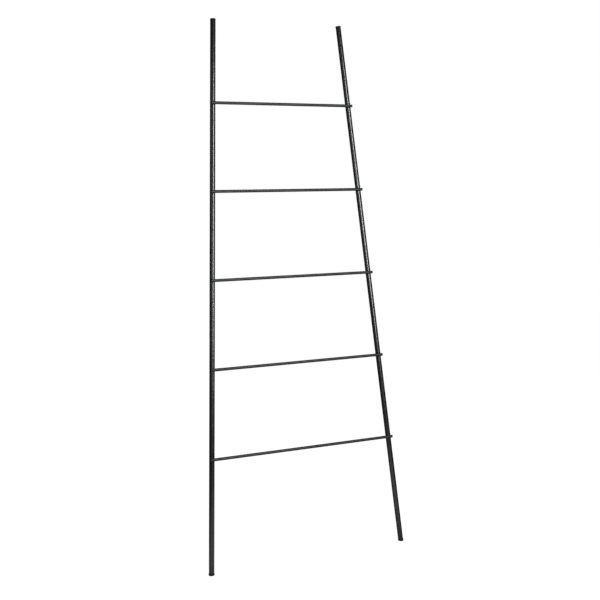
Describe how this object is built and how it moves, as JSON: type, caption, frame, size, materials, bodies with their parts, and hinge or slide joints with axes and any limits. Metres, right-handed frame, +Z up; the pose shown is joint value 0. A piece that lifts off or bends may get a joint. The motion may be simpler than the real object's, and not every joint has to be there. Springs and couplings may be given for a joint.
{
  "type": "blanket ladder",
  "caption": "Leaning blanket ladder of black powder-coated steel: two round tube rails drawn in towards the top, with thin round rungs across their fronts.",
  "frame": {"origin": "on the floor, under the middle of the leaning ladder's bounding box", "axes": "+X along the rungs to the right as seen from the front, +Y back towards the wall that the ladder leans on, +Z up"},
  "size_m": [0.7644, 0.2972, 1.8801],
  "materials": {
    "rail_coat": "satin black powder coat",
    "rung_coat": "satin black powder coat",
    "cap_plastic": "moulded, fine matt",
    "foot_rubber": "moulded, matt",
    "screw_steel": "black oxide",
    "washer_steel": "black oxide"
  },
  "bodies": {
    "root": {"left_rail": "rail_coat", "left_top_cap": "cap_plastic", "left_foot": "foot_rubber", "left_rung_screws": "screw_steel", "left_saddle_washers": "washer_steel", "right_rail": "rail_coat", "right_top_cap": "cap_plastic", "right_foot": "foot_rubber", "right_rung_screws": "screw_steel", "right_saddle_washers": "washer_steel", "rung_1": "rung_coat", "rung_2": "rung_coat", "rung_3": "rung_coat", "rung_4": "rung_coat", "rung_5": "rung_coat"}
  },
  "joints": []
}
